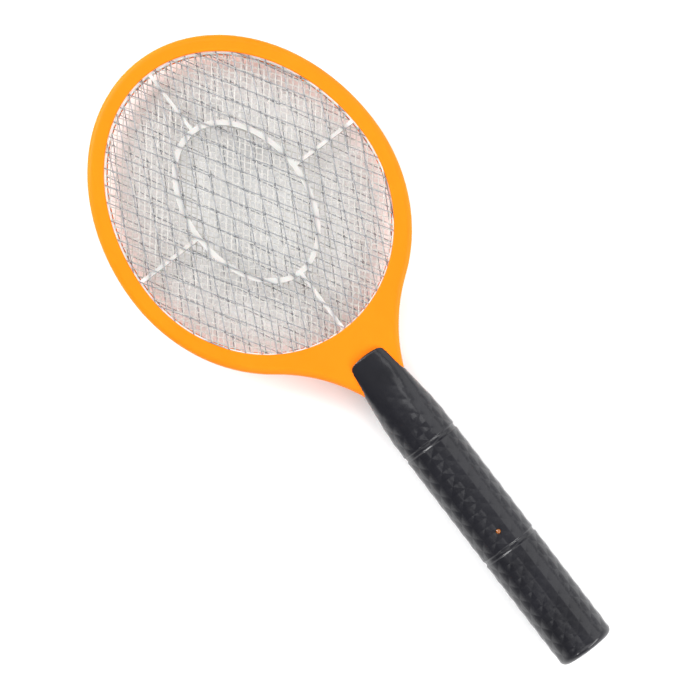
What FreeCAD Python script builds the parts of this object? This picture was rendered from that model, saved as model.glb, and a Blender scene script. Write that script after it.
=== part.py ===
import FreeCAD, Part
import math
import os

V = FreeCAD.Vector

# Electric fly swatter, in millimetres. X runs across the head, Y from the butt of the
# handle to the tip of the head, and Z up through the front face. While the pieces are made,
# Y is counted from the butt and Z from the surface that the racket lies on. save() then
# moves the origin to the middle of the racket's length.

LENGTH = 435.0
AXIS_Z = 17.0

# Head: two half ellipses that meet at the widest station, and a flare down to the neck.
HEAD_Y = 324.6
HEAD_HALF_WIDTH = 88.5
HEAD_UPPER = LENGTH - HEAD_Y
HEAD_LOWER = 100.4
FLARE_START_DEG = 147.0
NECK_Y = 198.0
NECK_HALF_WIDTH = 14.5
HEAD_HALF_THICK = 9.5
HEAD_EDGE_RADIUS = 3.5
HEAD_WALL = 1.8
HEAD_FACE_WALL = 2.0

# Opening in the head, and how far each ring stands into it or reaches behind its edge.
OPENING_Y = 323.4
OPENING_HALF_WIDTH = 78.7
OPENING_UPPER = 101.8
OPENING_LOWER = 86.4
OPENING_EDGE_RADIUS = 0.7
REAR_OPENING_STEP = 1.2
SPACER_LIP = 0.7
SPACER_REACH = 5.5
GRID_REACH = 4.0

# Layers of the head, as distances from its middle plane.
MESH_HALF_THICK = 0.3
SPACER_INNER_Z = 0.35
SPACER_OUTER_Z = 6.1
GRID_INNER_Z = 6.12
GRID_WIRE = 0.66

# Oval ring and four spokes inside each spacer frame.
RING_Y = 331.0
RING_HALF_WIDTH = 35.0
RING_HALF_LENGTH = 51.9
RING_BAND = 3.2
SPOKE_WIDTH = 2.1

# Guard grids and centre mesh: two wire families each, leaning half_angle to both sides.
GRID_HALF_ANGLE = 28.65
GRID_PITCHES = (9.15, 9.09)
FRONT_GRID_TILT = -2.83
REAR_GRID_TILT = 1.12
FRONT_GRID_NODE = (-1.4, 328.0)
REAR_GRID_NODE = (-2.1, 328.4)
MESH_HALF_ANGLE = 37.2
MESH_TILT = 1.3
MESH_PITCHES = (3.42, 3.42)
MESH_NODE = (0.0, 328.0)
MESH_STRAND = 0.6

# Tang of the head, which the handle clamps.
TANG_START = 166.0
TANG_HALF_WIDTH = 10.8
TANG_HALF_THICK = 8.0
TANG_WALL = 1.8
TANG_GAP = 0.2

# Handle: a round grip, and a neck that is lofted to a flat tongue over the head.
GRIP_RADIUS = 18.0
GRIP_END = 153.3
BUTT_CORNER = 4.0
BUTT_DOME = 1.0
HANDLE_WALL = 2.2
NECK_WALL = 2.5
CAVITY_END = 196.0
TONGUE_END = 217.5
TONGUE_ROOT = (187.0, 16.1)
TONGUE_HALF_WIDTH = 12.6
TONGUE_ARCH = 1.9
TONGUE_CORNER = 7.0
TONGUE_GAP = 0.1
NECK_SECTIONS = (
    (GRIP_END, 18.0, 18.0, 2.0, 2.0),
    (165.0, 17.9, 17.8, 2.0, 2.0),
    (177.0, 17.1, 16.5, 2.05, 2.3),
    (187.0, 15.9, 14.9, 2.2, 3.2),
    (198.0, 14.6, 13.4, 2.4, 5.5),
    (208.0, 13.6, 12.7, 2.5, 6.0),
    (219.0, 12.7, 12.2, 2.6, 6.0),
)
GROOVE_STATIONS = (77.0, GRIP_END)
GROOVE_WIDTH = 1.2
GROOVE_DEPTH = 0.6
COLLAR_STATIONS = (171.0, 189.0)
COLLAR_THICK = 2.0

# Battery bay and its cover, which slides off past the butt.
CELL_X = 7.35
CELL_Z = 18.2
CELL_RADIUS = 7.1
CELL_CAN = 49.2
NUB_RADIUS = 2.7
NUB_HEIGHT = 1.2
BRIDGE_Y = 3.4
CONTACT_THICK = 0.4
CONTACT_SPAN_Z = (14.5, 23.5)
CONTACT_OUTER = 12.3
CONTACT_INNER = 2.4
TAB_HALF_WIDTH = 1.8
TAB_TOP = 25.0
BAY_END = 60.0
BULKHEAD_THICK = 2.0
COVER_TOP = 10.0
COVER_END = 64.0
COVER_GAP = 0.3
HOOK_FROM = 4.0
HOOK_TO = 59.0
HOOK_WEB = (12.9, 13.9)
HOOK_REACH = 15.9
HOOK_LIP = (12.0, 13.0)
THUMB_GROOVES = 6
THUMB_GROOVE_FROM = 44.0
THUMB_GROOVE_PITCH = 2.4
THUMB_GROOVE_WIDTH = 1.2
THUMB_GROOVE_HALF_LENGTH = 5.0
THUMB_GROOVE_DEPTH = 0.6

# Push button on the rear face, above a key switch on the circuit board.
BUTTON_Y = 118.0
BUTTON_LENGTH = 16.0
BUTTON_WIDTH = 11.0
BUTTON_FACE_Z = 0.5
BUTTON_TOP_Z = 4.1
BUTTON_GAP = 0.3
FLANGE_MARGIN = 1.5
FLANGE_Z = 3.1
SEAT_Z = 3.0
STEM_RADIUS = 2.5
SWITCH_SIDE = 6.0
SWITCH_HEIGHT = 3.4
PLUNGER_RADIUS = 1.7
PLUNGER_FIT = 0.05
PLUNGER_SPAN = (10.4, 13.3)
SWITCH_BORE_TOP = 14.6

# Circuit board, and the indicator lamp in the front of the grip.
BOARD_BOTTOM = 15.4
BOARD_TOP = 17.0
BOARD_HALF_WIDTH = 11.0
BOARD_SPAN = (82.0, 150.0)
POST_RADIUS = 2.2
POST_PLACES = tuple((x, y) for x in (-8.4, 8.4) for y in (84.6, 147.4))
TRANSFORMER_Y = 134.0
RESISTOR_STATIONS = (93.0, 96.4, 99.8)
DIODE_STATIONS = (112.6, 116.4, 120.2)
COMPONENT_LEAD_RADIUS = 0.3
LAMP_Y = 88.8
LAMP_RADIUS = 1.5
LAMP_HOLE_RADIUS = 1.6
LAMP_PROUD = 0.4

# Screws, all driven from the rear.
HANDLE_SCREWS = ((-10.8, 71.0), (10.8, 71.0), (-9.0, 157.5), (9.0, 157.5), (0.0, 180.0))
HEAD_SCREWS = ((-20.0, 225.0), (20.0, 225.0))
BOSS_RADIUS = 3.2
SCREW_RADIUS = 1.1
PILOT_RADIUS = 1.15
SHANK_HOLE_RADIUS = 1.5
SCREW_HEAD_RADIUS = 2.5
SCREW_HEAD_HEIGHT = 1.6
SCREW_SINK_RADIUS = 2.8
HANDLE_SEAT = 5.5
HEAD_SEAT = 3.0

LEAD_RADIUS = 0.7
ARC_SHARE = 0.45
FAR = 500.0


def box(x0, x1, y0, y1, z0, z1):
    return Part.makeBox(x1 - x0, y1 - y0, z1 - z0, V(x0, y0, z0))


def rod(x, y, z0, z1, radius):
    return Part.makeCylinder(radius, z1 - z0, V(x, y, z0))


def rod_x(x0, x1, y, z, radius):
    return Part.makeCylinder(radius, x1 - x0, V(x0, y, z), V(1, 0, 0))


def rod_y(x, y0, y1, z, radius):
    return Part.makeCylinder(radius, y1 - y0, V(x, y0, z), V(0, 1, 0))


def half_space(front):
    z0, z1 = (AXIS_Z, AXIS_Z + FAR) if front else (AXIS_Z - FAR, AXIS_Z)
    return box(-FAR, FAR, -FAR, FAR, z0, z1)


def extrude(wire, z0, z1):
    face = Part.Face(wire)
    face.translate(V(0, 0, z0))
    return face.extrude(V(0, 0, z1 - z0))


def stadium(length, width, z0, z1, y):
    """Upright solid with straight sides along Y and round ends."""
    radius = width / 2
    straight = length / 2 - radius
    middle = box(-radius, radius, y - straight, y + straight, z0, z1)
    ends = [rod(0, y + side * straight, z0, z1, radius) for side in (-1, 1)]
    return middle.fuse(ends).removeSplitter()


def save(name, shape):
    shape = shape.copy()
    shape.translate(V(0, -LENGTH / 2, 0))
    solids = shape.Solids
    print(name, len(solids), "solids", round(shape.Volume, 1), "mm3", shape.isValid())
    shape.exportStep("parts/" + name + ".step")


# ---- Head outlines -----------------------------------------------------------------------

def ellipse_arc(y, half_x, half_y, start_deg, end_deg):
    """Arc whose angle is 0 at +Y and grows towards +X."""
    ellipse = Part.Ellipse(V(0, y + half_y, 0), V(half_x, y, 0), V(0, y, 0))
    return Part.ArcOfEllipse(ellipse, math.radians(start_deg), math.radians(end_deg)).toShape()


def oval_wire(y, half_x, upper, lower):
    return Part.Wire([
        ellipse_arc(y, half_x, upper, 270, 450),
        ellipse_arc(y, half_x, lower, 90, 270),
    ])


def opening_wire(grow):
    return oval_wire(OPENING_Y, OPENING_HALF_WIDTH + grow, OPENING_UPPER + grow, OPENING_LOWER + grow)


def flare_points(half_x, lower, neck_half):
    """Start, middle and end of the arc that leaves the lower ellipse tangentially."""
    angle = math.radians(FLARE_START_DEG)
    start = V(half_x * math.sin(angle), HEAD_Y + lower * math.cos(angle), 0)
    end = V(neck_half, NECK_Y, 0)
    normal = V(math.sin(angle) / half_x, math.cos(angle) / lower, 0).normalize()
    chord = start - end
    radius = -chord.dot(chord) / (2 * normal.dot(chord))
    centre = start + normal * radius
    towards = (start - centre).normalize() + (end - centre).normalize()
    return start, centre + towards.normalize() * radius, end


def head_wire(inset):
    half_x = HEAD_HALF_WIDTH - inset
    upper = HEAD_UPPER - inset
    lower = HEAD_LOWER - inset
    right = flare_points(half_x, lower, NECK_HALF_WIDTH - inset)
    left = [V(-p.x, p.y, 0) for p in reversed(right)]
    return Part.Wire([
        ellipse_arc(HEAD_Y, half_x, upper, 270, 450),
        ellipse_arc(HEAD_Y, half_x, lower, 90, FLARE_START_DEG),
        Part.Arc(*right).toShape(),
        Part.LineSegment(right[2], left[0]).toShape(),
        Part.Arc(*left).toShape(),
        ellipse_arc(HEAD_Y, half_x, lower, 360 - FLARE_START_DEG, 270),
    ])


def head_slab(grow, front):
    """Outer solid of one half of the head, its outer edge rounded."""
    height = HEAD_HALF_THICK + grow
    slab = extrude(head_wire(-grow), 0, height)
    rim = [e for e in slab.Edges
           if e.BoundBox.ZMin > height - 0.01 and e.BoundBox.YLength > 1]
    slab = slab.makeFillet(HEAD_EDGE_RADIUS, rim)
    return place_half(slab, front)


def place_half(shape, front):
    """Moves a shape built up from Z = 0 to the front or the rear half of the racket."""
    if not front:
        shape = shape.mirror(V(0, 0, 0), V(0, 0, 1))
    shape.translate(V(0, 0, AXIS_Z))
    return shape


def tang_box(grow, front):
    half = TANG_HALF_WIDTH + grow
    tang = box(-half, half, TANG_START - grow, NECK_Y + 3, 0, TANG_HALF_THICK + grow)
    return place_half(tang, front)


# ---- Head --------------------------------------------------------------------------------

def head_frame(front):
    shell = head_slab(0, front).fuse(tang_box(0, front))
    hollow_top = HEAD_HALF_THICK - HEAD_FACE_WALL
    hollow = extrude(head_wire(HEAD_WALL), 0, hollow_top)
    tang_hollow = box(TANG_WALL - TANG_HALF_WIDTH, TANG_HALF_WIDTH - TANG_WALL, TANG_START - 1,
                      NECK_Y + 5, 0, TANG_HALF_THICK - TANG_WALL)
    step = 0 if front else REAR_OPENING_STEP
    opening = extrude(opening_wire(-step), 0, HEAD_HALF_THICK + 1)
    for cutter in (hollow, tang_hollow, opening):
        shell = shell.cut(place_half(cutter, front))
    face_z = AXIS_Z + (HEAD_HALF_THICK if front else -HEAD_HALF_THICK)
    inner_edges = [e for e in shell.Edges
                   if abs(e.BoundBox.ZMin - face_z) < 0.01 and abs(e.BoundBox.ZMax - face_z) < 0.01
                   and e.BoundBox.XLength > OPENING_HALF_WIDTH and is_opening_edge(e, step)]
    shell = shell.makeFillet(OPENING_EDGE_RADIUS, inner_edges)
    for x, y in HEAD_SCREWS:
        shell = add_boss(shell, x, y, front, HEAD_HALF_THICK - 0.5, HEAD_SEAT + AXIS_Z - HEAD_HALF_THICK)
    for x, y in HANDLE_SCREWS:
        if y > TANG_START:
            shell = shell.cut(rod(x, y, 0, 2 * AXIS_Z, BOSS_RADIUS + TANG_GAP))
    return shell


def is_opening_edge(edge, step):
    return abs(edge.BoundBox.XMax - (OPENING_HALF_WIDTH - step)) < 0.1


def add_boss(shell, x, y, front, height, seat):
    """Screw pillar that ends on the middle plane: a pilot hole in front, a sunk head behind."""
    pillar = place_half(rod(x, y, 0, height, BOSS_RADIUS), front)
    shell = shell.fuse(pillar)
    if front:
        return shell.cut(rod(x, y, AXIS_Z, AXIS_Z + height - 1.5, PILOT_RADIUS))
    shell = shell.cut(rod(x, y, -1, AXIS_Z, SHANK_HOLE_RADIUS))
    return shell.cut(rod(x, y, -1, seat, SCREW_SINK_RADIUS))


def spacer_frame(front):
    """White frame: a rim under the opening's edge, an oval ring and four spokes."""
    rim = extrude(opening_wire(SPACER_REACH), SPACER_INNER_Z, SPACER_OUTER_Z)
    rim = rim.cut(extrude(opening_wire(-SPACER_LIP), 0, SPACER_OUTER_Z + 1))
    half = RING_BAND / 2
    ring = extrude(oval_wire(RING_Y, RING_HALF_WIDTH + half, RING_HALF_LENGTH + half,
                             RING_HALF_LENGTH + half), SPACER_INNER_Z, SPACER_OUTER_Z)
    ring = ring.cut(extrude(oval_wire(RING_Y, RING_HALF_WIDTH - half, RING_HALF_LENGTH - half,
                                      RING_HALF_LENGTH - half), 0, SPACER_OUTER_Z + 1))
    w = SPOKE_WIDTH / 2
    rim_overlap = SPACER_LIP + 1
    top = OPENING_Y + OPENING_UPPER + rim_overlap
    bottom = OPENING_Y - OPENING_LOWER - rim_overlap
    side = OPENING_HALF_WIDTH + rim_overlap
    spokes = [
        box(-w, w, RING_Y + RING_HALF_LENGTH, top, SPACER_INNER_Z, SPACER_OUTER_Z),
        box(-w, w, bottom, RING_Y - RING_HALF_LENGTH, SPACER_INNER_Z, SPACER_OUTER_Z),
        box(RING_HALF_WIDTH, side, RING_Y - w, RING_Y + w, SPACER_INNER_Z, SPACER_OUTER_Z),
        box(-side, -RING_HALF_WIDTH, RING_Y - w, RING_Y + w, SPACER_INNER_Z, SPACER_OUTER_Z),
    ]
    return place_half(rim.fuse([ring] + spokes).removeSplitter(), front)


def oval_chord(base, along, grow):
    """Where the line through base meets the opening's outline grown by grow, or nothing."""
    ends = []
    for upper, half_y in ((True, OPENING_UPPER + grow), (False, OPENING_LOWER + grow)):
        half_x = OPENING_HALF_WIDTH + grow
        px, py = base.x / half_x, (base.y - OPENING_Y) / half_y
        dx, dy = along.x / half_x, along.y / half_y
        a, b, c = dx * dx + dy * dy, px * dx + py * dy, px * px + py * py - 1
        root = b * b - a * c
        if root <= 0:
            continue
        for sign in (-1, 1):
            point = base + along * ((-b + sign * math.sqrt(root)) / a)
            if (point.y >= OPENING_Y) == upper:
                ends.append(point)
    return ends if len(ends) == 2 else None


def wire_family(angle_deg, pitch, node, width, z0, z1):
    """Parallel flat-sided wires, cut to the opening's outline."""
    angle = math.radians(angle_deg)
    across = V(math.cos(angle), -math.sin(angle), 0)
    along = V(math.sin(angle), math.cos(angle), 0)
    wires = []
    count = int(2 * OPENING_UPPER / pitch)
    for i in range(-count, count + 1):
        ends = oval_chord(V(node[0], node[1], 0) + across * (i * pitch), along, GRID_REACH)
        if ends is None or ends[0].distanceToPoint(ends[1]) < 4 * pitch:
            continue
        half = across * (width / 2)
        corners = [ends[0] - half, ends[0] + half, ends[1] + half, ends[1] - half]
        wires.append(extrude(Part.makePolygon(corners + corners[:1]), z0, z1))
    return wires


def guard_grid(front):
    tilt = FRONT_GRID_TILT if front else REAR_GRID_TILT
    node = FRONT_GRID_NODE if front else REAR_GRID_NODE
    wires = []
    for layer, lean in enumerate((GRID_HALF_ANGLE, -GRID_HALF_ANGLE)):
        low = GRID_INNER_Z + layer * GRID_WIRE
        family = wire_family(lean + tilt, GRID_PITCHES[layer], node, GRID_WIRE, low, low + GRID_WIRE)
        wires += [place_half(wire, front) for wire in family]
    return Part.makeCompound(wires)


def electrode_mesh():
    strands = []
    for layer, lean in enumerate((MESH_HALF_ANGLE, -MESH_HALF_ANGLE)):
        low = AXIS_Z + (layer - 1) * MESH_HALF_THICK
        strands += wire_family(lean + MESH_TILT, MESH_PITCHES[layer], MESH_NODE, MESH_STRAND,
                               low, low + MESH_HALF_THICK)
    return Part.makeCompound(strands)


# ---- Handle ------------------------------------------------------------------------------

def grip_solid(inset):
    """Round grip up to the neck, with a domed butt and a narrow flat along the rear."""
    radius = GRIP_RADIUS - inset
    corner = BUTT_CORNER - inset
    flat_end = radius - corner
    low = inset
    shoulder = low + BUTT_DOME
    slant = corner * math.sqrt(0.5)
    profile = Part.Wire([
        Part.Arc(V(0, low, 0), V(flat_end / 2, low + BUTT_DOME / 4, 0),
                 V(flat_end, shoulder, 0)).toShape(),
        Part.Arc(V(flat_end, shoulder, 0),
                 V(flat_end + slant, shoulder + corner - slant, 0),
                 V(radius, shoulder + corner, 0)).toShape(),
        Part.makePolygon([V(radius, shoulder + corner, 0), V(radius, GRIP_END, 0),
                          V(0, GRIP_END, 0), V(0, low, 0)]),
    ])
    grip = Part.Face(profile).revolve(V(0, 0, 0), V(0, 1, 0), 360)
    grip.translate(V(0, 0, AXIS_Z))
    return grip


def section_wire(y, half_x, half_z, power_x, power_z):
    """Closed smooth curve |x/half_x|^power_x + |z/half_z|^power_z = 1 in the plane of y."""
    points = []
    steps = 48
    for i in range(steps):
        angle = 2 * math.pi * (i + 0.5) / steps
        c, s = math.cos(angle), math.sin(angle)
        x = half_x * math.copysign(abs(c) ** (2 / power_x), c)
        z = half_z * math.copysign(abs(s) ** (2 / power_z), s)
        points.append(V(x, y, AXIS_Z + z))
    curve = Part.BSplineCurve()
    curve.interpolate(points, PeriodicFlag=True)
    return Part.Wire([curve.toShape()])


def neck_solid(inset):
    sections = [section_wire(y, a - inset, b - inset, *powers) for y, a, b, *powers in NECK_SECTIONS]
    return Part.makeLoft(sections, True, False)


def tongue_outline():
    """Upright prism that arches the tongue's end, rounds its corners and leaves the rest alone."""
    near_y, near_half = TONGUE_ROOT
    far_y = TONGUE_END - TONGUE_ARCH
    left, right = V(-TONGUE_HALF_WIDTH, far_y, 0), V(TONGUE_HALF_WIDTH, far_y, 0)
    sides = Part.makePolygon([left, V(-near_half, near_y, 0), V(near_half, near_y, 0), right])
    arch = Part.Arc(right, V(0, TONGUE_END, 0), left).toShape()
    top = 2 * AXIS_Z + 3
    prism = extrude(Part.Wire(sides.Edges + [arch]), -1, top)
    upright = [e for e in prism.Edges
               if e.BoundBox.ZLength > 1 and e.BoundBox.YMin > far_y - 0.01]
    prism = prism.makeFillet(TONGUE_CORNER, upright)
    return prism.fuse(box(-30, 30, 100, near_y + 0.5, -1, top))


def handle_outer():
    neck = neck_solid(0).common(tongue_outline())
    body = grip_solid(0).fuse(neck)
    body = body.cut(box(-30, 30, -5, 250, -20, 0))
    for y in GROOVE_STATIONS:
        ring = rod_y(0, y - GROOVE_WIDTH / 2, y + GROOVE_WIDTH / 2, AXIS_Z, GRIP_RADIUS + 2)
        core = rod_y(0, y - GROOVE_WIDTH, y + GROOVE_WIDTH, AXIS_Z, GRIP_RADIUS - GROOVE_DEPTH)
        body = body.cut(ring.cut(core))
    return body


def handle_cavity():
    neck = neck_solid(NECK_WALL).common(box(-30, 30, 100, CAVITY_END, -5, 50))
    for y in COLLAR_STATIONS:
        neck = neck.cut(box(-30, 30, y, y + COLLAR_THICK, -5, 50))
    cavity = grip_solid(HANDLE_WALL).fuse(neck)
    return cavity.cut(box(-30, 30, -5, 250, -20, HANDLE_WALL))


def head_space():
    """Room that the head and its tang take inside the handle."""
    space = head_slab(TONGUE_GAP, True).fuse(head_slab(TONGUE_GAP, False))
    for front in (True, False):
        space = space.fuse(tang_box(TANG_GAP, front))
    return space


def handle_shell(front, outer, cavity, space):
    half = half_space(front)
    walls = outer.common(half)
    shell = walls.cut(cavity).cut(space)
    pillars = [place_half(rod(x, y, 0, GRIP_RADIUS, BOSS_RADIUS), front) for x, y in HANDLE_SCREWS]
    if front:
        pillars += [rod(x, y, BOARD_TOP, AXIS_Z + GRIP_RADIUS, POST_RADIUS) for x, y in POST_PLACES]
        pillars.append(box(-20, 20, BAY_END + 0.1, BAY_END + BULKHEAD_THICK, AXIS_Z, 50))
    shell = shell.fuse([p.common(walls) for p in pillars])
    for x, y in HANDLE_SCREWS:
        shell = drill_boss(shell, x, y, front)
    return shell


def drill_boss(shell, x, y, front):
    if front:
        return shell.cut(rod(x, y, AXIS_Z, AXIS_Z + 9, PILOT_RADIUS))
    shell = shell.cut(rod(x, y, -1, AXIS_Z, SHANK_HOLE_RADIUS))
    return shell.cut(rod(x, y, -1, HANDLE_SEAT, SCREW_SINK_RADIUS))


def front_handle_shell(outer, cavity, space):
    shell = handle_shell(True, outer, cavity, space)
    shell = shell.cut(rod(0, LAMP_Y, AXIS_Z, 2 * AXIS_Z + 5, LAMP_HOLE_RADIUS))
    for x in (-CELL_X, CELL_X):
        shell = shell.cut(box(x - 2.4, x + 2.4, BAY_END, BAY_END + 3, 23.0, 26.4))
    for x, y in POST_PLACES:
        shell = shell.cut(rod(x, y, BOARD_TOP, BOARD_TOP + 7, 0.75))
    return shell


def rear_handle_shell(outer, cavity, space):
    shell = handle_shell(False, outer, cavity, space)
    bay = box(-30, 30, -5, COVER_END + COVER_GAP, -5, COVER_TOP + COVER_GAP)
    shell = shell.cut(bay)
    for side in (-1, 1):
        reach = HOOK_REACH + COVER_GAP
        web = HOOK_WEB[0] - COVER_GAP
        x0, x1 = sorted((side * web, side * reach))
        shell = shell.cut(box(x0, x1, -5, HOOK_TO + 2, HOOK_LIP[0] - COVER_GAP, HOOK_LIP[1] + COVER_GAP))
        x0, x1 = sorted((side * web, side * (HOOK_WEB[1] + COVER_GAP)))
        shell = shell.cut(box(x0, x1, -5, HOOK_TO + 2, COVER_TOP, HOOK_LIP[1] + COVER_GAP))
    margin = 2 * FLANGE_MARGIN + 1
    seat = stadium(BUTTON_LENGTH + margin, BUTTON_WIDTH + margin, 1.0, SEAT_Z, BUTTON_Y)
    shell = shell.fuse(seat.common(outer))
    hole = 2 * BUTTON_GAP
    return shell.cut(stadium(BUTTON_LENGTH + hole, BUTTON_WIDTH + hole, -1, SEAT_Z + 1, BUTTON_Y))


def battery_cover(outer, cavity):
    region = box(-30, 30, -5, COVER_END, -5, COVER_TOP)
    cover = outer.common(region).cut(cavity)
    hooks = []
    for side in (-1, 1):
        for x_range, z_range in (
            ((HOOK_WEB[0], HOOK_WEB[1]), (COVER_TOP - 1.6, HOOK_LIP[1])),
            ((HOOK_WEB[0], HOOK_REACH), HOOK_LIP),
            ((HOOK_WEB[0], HOOK_WEB[1] + 1), (COVER_TOP - 1.6, COVER_TOP)),
        ):
            x0, x1 = sorted(side * x for x in x_range)
            hooks.append(box(x0, x1, HOOK_FROM, HOOK_TO, *z_range))
    cover = cover.fuse(hooks)
    for i in range(THUMB_GROOVES):
        y = THUMB_GROOVE_FROM + THUMB_GROOVE_PITCH * i
        half = THUMB_GROOVE_HALF_LENGTH
        cover = cover.cut(box(-half, half, y, y + THUMB_GROOVE_WIDTH, -1, THUMB_GROOVE_DEPTH))
    return cover


# ---- Battery bay -------------------------------------------------------------------------

def battery_cell(x, towards_head):
    """Round cell with its button pole at one end."""
    if towards_head:
        start = BAY_END - CONTACT_THICK - NUB_HEIGHT - CELL_CAN
        nub = rod_y(x, start + CELL_CAN, start + CELL_CAN + NUB_HEIGHT, CELL_Z, NUB_RADIUS)
    else:
        start = BRIDGE_Y + CONTACT_THICK + NUB_HEIGHT
        nub = rod_y(x, start - NUB_HEIGHT, start, CELL_Z, NUB_RADIUS)
    can = rod_y(x, start, start + CELL_CAN, CELL_Z, CELL_RADIUS)
    edges = [e for e in can.Edges if e.BoundBox.YLength < 0.01]
    can = can.makeFillet(0.5, edges)
    return can.fuse(nub)


def battery_spring(x, y0, y1, wide_at_start):
    """Conical coil of steel wire whose wide end sits on its contact plate."""
    wire_radius = 0.35
    height = y1 - y0 - 2 * wire_radius
    turns = 3.5
    helix = Part.makeHelix(height / turns, height, 4.6, -12)
    start = helix.Vertexes[0].Point
    ring = Part.Wire([Part.makeCircle(wire_radius, start, V(0, 1, 0.1))])
    coil = Part.Wire(helix.Edges).makePipeShell([ring], True, True)
    if wide_at_start:
        coil.rotate(V(0, 0, 0), V(1, 0, 0), -90)
        coil.translate(V(x, y0 + wire_radius, CELL_Z))
    else:
        coil.rotate(V(0, 0, 0), V(1, 0, 0), 90)
        coil.translate(V(x, y1 - wire_radius, CELL_Z))
    return coil


def contact_plate(x0, x1, y):
    plate = box(x0, x1, y, y + CONTACT_THICK, *CONTACT_SPAN_Z)
    edges = [e for e in plate.Edges if e.BoundBox.YLength > 0.1]
    return plate.makeFillet(1.0, edges)


def terminal(side):
    """Head-end contact: a plate, and a tab through the bulkhead for its lead."""
    x0, x1 = sorted((side * CONTACT_INNER, side * CONTACT_OUTER))
    y = BAY_END - CONTACT_THICK
    plate = contact_plate(x0, x1, y)
    tab_x = side * CELL_X
    x0, x1 = tab_x - TAB_HALF_WIDTH, tab_x + TAB_HALF_WIDTH
    neck = box(x0, x1, y, y + CONTACT_THICK, CONTACT_SPAN_Z[1] - 0.5, TAB_TOP)
    tab = box(x0, x1, y, y + 4, TAB_TOP - CONTACT_THICK, TAB_TOP)
    return plate.fuse([neck, tab]).removeSplitter()


# ---- Electronics -------------------------------------------------------------------------

def circuit_board():
    board = box(-BOARD_HALF_WIDTH, BOARD_HALF_WIDTH, *BOARD_SPAN, BOARD_BOTTOM, BOARD_TOP)
    upright = [e for e in board.Edges if e.BoundBox.ZLength > 1]
    board = board.makeFillet(1.5, upright)
    for x, y in POST_PLACES:
        board = board.cut(rod(x, y, 10, 20, 1.3))
    return board


def board_screws():
    screws = []
    for x, y in POST_PLACES:
        head = rod(x, y, BOARD_BOTTOM - 1.2, BOARD_BOTTOM, 2.0)
        slot = box(x - 2.5, x + 2.5, y - 0.25, y + 0.25, BOARD_BOTTOM - 2, BOARD_BOTTOM - 0.8)
        screws.append(head.cut(slot).fuse(rod(x, y, BOARD_BOTTOM, BOARD_TOP + 5, 0.7)))
    return Part.makeCompound(screws)


def transformer_core():
    """Ferrite frame with a centre leg, in the X-Z plane."""
    y = TRANSFORMER_Y
    core = box(-6.5, 6.5, y - 3, y + 3, 18, 30)
    for side in (-1, 1):
        x0, x1 = sorted((side * 2.0, side * 5.0))
        core = core.cut(box(x0, x1, y - 4, y + 4, 20, 28))
    return core


def transformer_bobbin():
    y = TRANSFORMER_Y
    bobbin = box(-2.7, 2.7, y - 3.7, y + 3.7, 20.1, 27.9)
    for z in (20.1, 27.1):
        bobbin = bobbin.fuse(box(-4.8, 4.8, y - 6, y + 6, z, z + 0.8))
    for side in (-1, 1):
        y0, y1 = sorted((y + side * 4.2, y + side * 6.0))
        bobbin = bobbin.fuse(box(-4.8, 4.8, y0, y1, BOARD_TOP, 20.5))
    return bobbin.cut(box(-2.1, 2.1, y - 3.1, y + 3.1, 15, 35)).removeSplitter()


def transformer_winding():
    y = TRANSFORMER_Y
    coil = box(-4.6, 4.6, y - 5.6, y + 5.6, 21, 27)
    upright = [e for e in coil.Edges if e.BoundBox.ZLength > 1]
    coil = coil.makeFillet(1.6, upright)
    return coil.cut(box(-2.75, 2.75, y - 3.75, y + 3.75, 20, 28))


def axial_part(y, z, body_half, body_radius, lead_half):
    """Resistor or diode lying across the board on two bent leads."""
    body = rod_x(-body_half, body_half, y, z, body_radius)
    lead = rod_x(-lead_half, lead_half, y, z, COMPONENT_LEAD_RADIUS)
    feet = [rod(side * lead_half, y, BOARD_TOP, z + 0.4, 0.4) for side in (-1, 1)]
    return body.fuse([lead] + feet)


def resistors():
    return Part.makeCompound([axial_part(y, 18.6, 3.1, 1.15, 5.2) for y in RESISTOR_STATIONS])


def rectifier_diodes():
    return Part.makeCompound([axial_part(y, 18.8, 2.6, 1.3, 4.6) for y in DIODE_STATIONS])


def storage_capacitor():
    case = box(-8, 8, 102.6, 109.6, 17.6, 28.6)
    upright = [e for e in case.Edges if e.BoundBox.ZLength > 1]
    case = case.makeFillet(1.2, upright)
    return case.fuse([rod(x, 106.1, BOARD_TOP, 18, 0.35) for x in (-5.0, 5.0)])


def boost_capacitors():
    discs = []
    for x in (-5.2, 5.2):
        disc = rod_y(x, 123.2, 125.6, 22.6, 3.9)
        feet = [rod(x + side * 2.5, 124.4, BOARD_TOP, 20.5, COMPONENT_LEAD_RADIUS)
                for side in (-1, 1)]
        discs.append(disc.fuse(feet))
    return Part.makeCompound(discs)


def switching_transistor():
    x, y, z = 0.0, 145.0, 19.4
    case = rod(x, y, z, z + 4.6, 2.4).cut(box(x - 3, x + 3, y + 1.3, y + 4, z - 1, z + 6))
    return case.fuse([rod(x + dx, y, BOARD_TOP, z + 0.2, 0.25) for dx in (-1.27, 0, 1.27)])


def indicator_lamp():
    tip = 2 * AXIS_Z + (GRIP_RADIUS - AXIS_Z) + LAMP_PROUD
    lens = rod(0, LAMP_Y, 29.6, tip - LAMP_RADIUS, LAMP_RADIUS)
    dome = Part.makeSphere(LAMP_RADIUS, V(0, LAMP_Y, tip - LAMP_RADIUS))
    flange = rod(0, LAMP_Y, 29.6, 30.6, 1.9)
    legs = [box(x - 0.25, x + 0.25, LAMP_Y - 0.25, LAMP_Y + 0.25, BOARD_TOP, 29.8)
            for x in (-0.9, 0.9)]
    return lens.fuse([dome, flange] + legs)


# ---- Push button and switch --------------------------------------------------------------

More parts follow.
